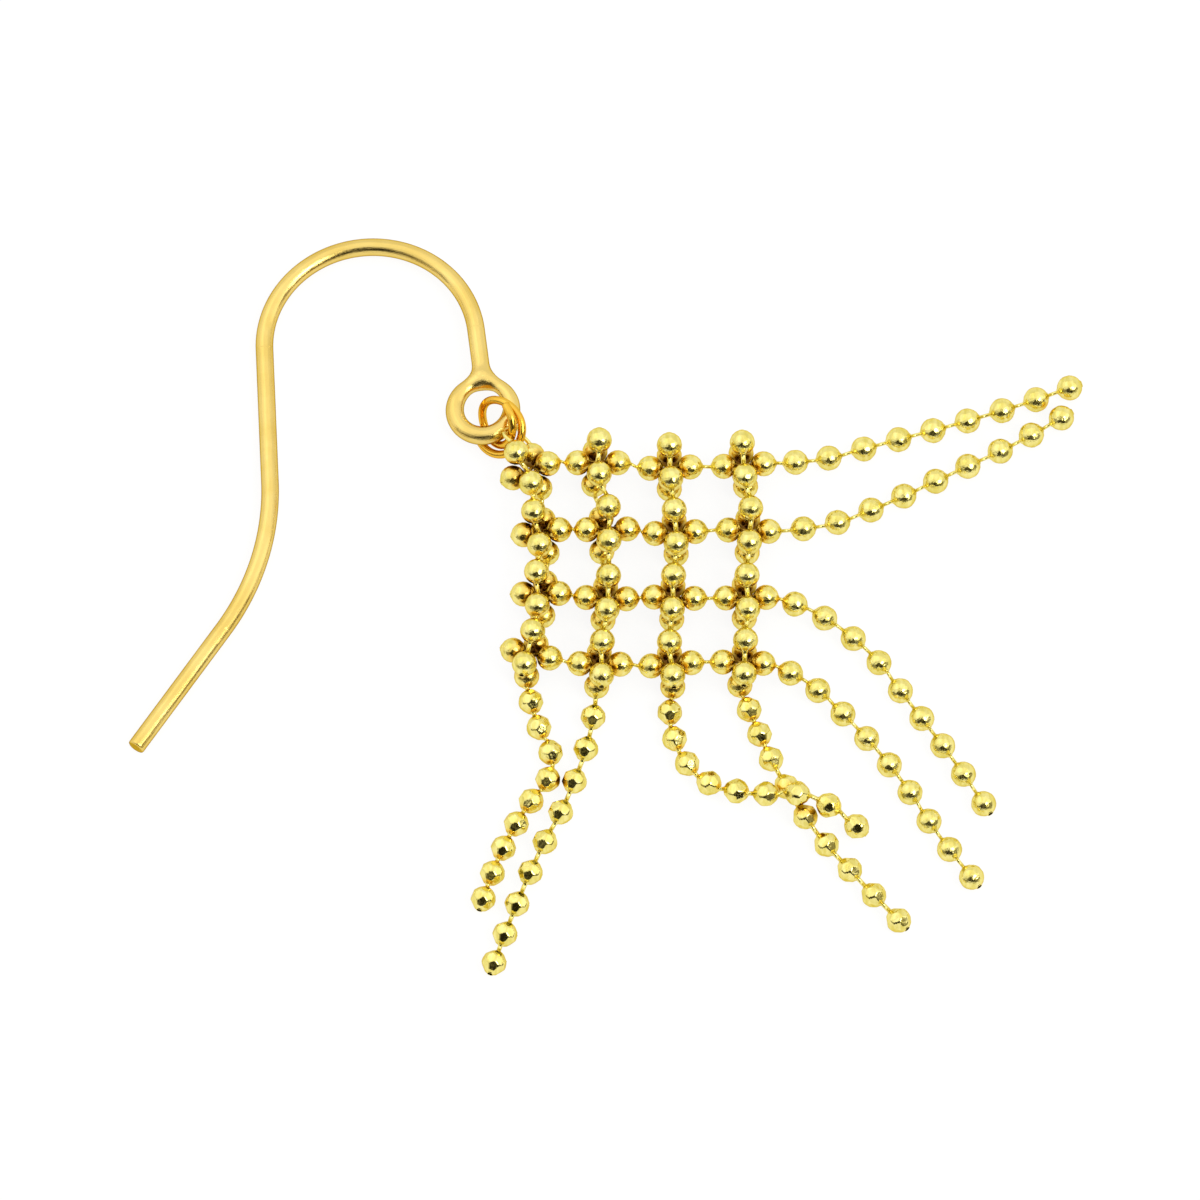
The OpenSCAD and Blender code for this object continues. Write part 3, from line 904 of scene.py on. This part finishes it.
def dim_card():
    """A dark olive card with lighter patches and sides, which the gold mirrors. The point
    attribute "lighter" gives the sides."""
    material = bpy.data.materials.new("dim_card")
    material.use_nodes = True
    shader = material.node_tree.nodes["Principled BSDF"]
    shader.inputs["Base Color"].default_value = (0, 0, 0, 1)
    shader.inputs["Specular IOR Level"].default_value = 0
    shader.inputs["Emission Strength"].default_value = 1
    place = joined(material, "ShaderNodeTexCoord", {}).outputs["Object"]
    patches = joined(material, "ShaderNodeTexNoise", {"Scale": 9, "Detail": 3}, Vector=place)
    lighter = joined(material, "ShaderNodeAttribute", {"attribute_name": "lighter"})
    both = joined(material, "ShaderNodeMath", {"operation": "ADD"})
    material.node_tree.links.new(patches.outputs["Fac"], both.inputs[0])
    material.node_tree.links.new(lighter.outputs["Fac"], both.inputs[1])
    shades = joined(material, "ShaderNodeValToRGB", {}, Fac=both.outputs["Value"])
    for stop, colour, at in zip(shades.color_ramp.elements,
                                ((0.02, 0.018, 0.013), (0.36, 0.34, 0.27)), (0.49, 0.70)):
        stop.color, stop.position = (*colour, 1), at
    material.node_tree.links.new(shades.outputs["Color"], shader.inputs["Emission Color"])
    return material


def card_grid(radius, columns=80, rows=12):
    """The dark card: a piece of a sphere round the earring between a lower and an upper edge.

    Both edges are highest in the middle and fall to the table at the sides, and sines of the
    azimuth make them ragged.
    """
    azimuth = np.linspace(CARD_TOP[0, 0], CARD_TOP[-1, 0], columns)
    lower = 15 - 0.0045 * azimuth ** 2 + 1.5 * np.sin(azimuth / 5) + np.sin(azimuth / 2.3)
    upper = (np.interp(azimuth, *CARD_TOP.T) + 2.5 * np.sin(azimuth / 4.1 + 1)
             + 1.5 * np.sin(azimuth / 1.9))
    elevation = lower + (upper - lower) * np.linspace(0, 1, rows)[:, None]
    a, e = np.radians(np.broadcast_to(azimuth, elevation.shape)), np.radians(elevation)
    points = radius * np.stack([np.sin(a) * np.cos(e), -np.cos(a) * np.cos(e), np.sin(e)], -1)
    i, k = np.meshgrid(np.arange(rows - 1) * columns, np.arange(columns - 1), indexing="ij")
    faces = np.stack([i + k, i + k + 1, i + columns + k + 1, i + columns + k], -1).reshape(-1, 4)
    return points.reshape(-1, 3), faces


def toward(azimuth, elevation):
    """Direction to a place on the sky. Azimuth 0 is in front of the earring, and grows to the right."""
    a, e = math.radians(azimuth), math.radians(elevation)
    return np.array([math.sin(a) * math.cos(e), -math.cos(a) * math.cos(e), math.sin(e)])


def softbox(name, azimuth, elevation, distance, size, radiance, shape):
    """An area light that faces the earring, with the given brightness of its face."""
    light = bpy.data.lights.new(name, "AREA")
    light.shape = shape
    light.size, light.size_y = size
    area = size[0] * size[1] * (math.pi / 4 if shape == "DISK" else 1)
    light.energy = radiance * math.pi * area
    thing = bpy.data.objects.new(name, light)
    bpy.context.scene.collection.objects.link(thing)
    back = toward(azimuth, elevation)
    place(thing, back * distance, back)


def place(thing, at, back):
    """Puts a light or camera at a point, looking away from back, with the sky at the top."""
    right = unit(np.cross(UP, back))
    over = np.cross(back, right)
    rows = np.eye(4)
    rows[:3, 0], rows[:3, 1], rows[:3, 2], rows[:3, 3] = right, over, back, at
    thing.matrix_world = Matrix(rows.tolist())


class EARRING_OT_stage(bpy.types.Operator):
    """Set the table, the light and the camera"""

    bl_idname = "earring.stage"
    bl_label = "Stage"

    def execute(self, context):
        stage = context.scene.earring_stage
        corners = [(x * TABLE_HALF, y * TABLE_HALF, 0) for x, y in ((-1, -1), (1, -1), (1, 1), (-1, 1))]
        sheet("table", corners, [(0, 1, 2, 3)], lit_table(stage.floor, stage.glow))

        world = bpy.data.worlds.new("studio")
        world.use_nodes = True
        world.node_tree.nodes["Background"].inputs["Color"].default_value = (1, 1, 1, 1)
        world.node_tree.nodes["Background"].inputs["Strength"].default_value = 0.98
        context.scene.world = world
        for light in LIGHTS:
            softbox(*light)

        points, faces = card_grid(0.45)
        card = sheet("dark_card", points.tolist(), faces.tolist(), dim_card())
        side = np.degrees(np.arctan2(np.abs(points[:, 0]), -points[:, 1]))
        put_attribute(card, "lighter", 0.2 * ease((side - 22) / 30))
        card.visible_camera = card.visible_diffuse = card.visible_shadow = False

        context.scene.view_settings.view_transform = "Standard"
        camera = bpy.data.cameras.new("camera")
        camera.sensor_width = 36
        camera.lens = 36 * stage.distance / stage.width
        camera.clip_end = 10
        thing = bpy.data.objects.new("camera", camera)
        context.scene.collection.objects.link(thing)
        back = toward(0, math.degrees(stage.elevation))
        place(thing, np.array(stage.aim) + back * stage.distance, back)
        context.scene.camera = thing
        return {"FINISHED"}


class EARRING_PT_panel(bpy.types.Panel):
    """Lists the earring's pieces in the order in which they are built"""

    bl_idname = "EARRING_PT_panel"
    bl_label = "Fringe earring"
    bl_space_type = "VIEW_3D"
    bl_region_type = "UI"
    bl_category = "Earring"

    def draw(self, context):
        for operator in OPERATORS:
            self.layout.operator(operator.bl_idname)
        for settings in SETTINGS:
            box = self.layout.box()
            for name in SETTINGS[settings].__annotations__:
                box.prop(getattr(context.scene, settings), name)


OPERATORS = (EARRING_OT_stage, EARRING_OT_rows, EARRING_OT_columns, EARRING_OT_fronts,
             EARRING_OT_corner_link, EARRING_OT_jump_ring, EARRING_OT_ear_wire)
SETTINGS = {"earring_ear_wire": EarWireSettings, "earring_ring": RingSettings,
            "earring_chain": ChainSettings, "earring_stage": StageSettings}


def register():
    """Registers the classes and their settings."""
    for kind in (*SETTINGS.values(), *OPERATORS, EARRING_PT_panel):
        bpy.utils.register_class(kind)
    for name, kind in SETTINGS.items():
        setattr(bpy.types.Scene, name, bpy.props.PointerProperty(type=kind))


def unregister():
    """Takes them out again."""
    for name in SETTINGS:
        delattr(bpy.types.Scene, name)
    for kind in (EARRING_PT_panel, *reversed(OPERATORS), *SETTINGS.values()):
        bpy.utils.unregister_class(kind)


def main():
    register()
    bpy.ops.earring.stage()
    bpy.ops.earring.rows()
    bpy.ops.earring.columns()
    bpy.ops.earring.fronts()
    bpy.ops.earring.corner_link()
    bpy.ops.earring.jump_ring()
    bpy.ops.earring.ear_wire()
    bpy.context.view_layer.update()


if __name__ == "__main__":
    main()
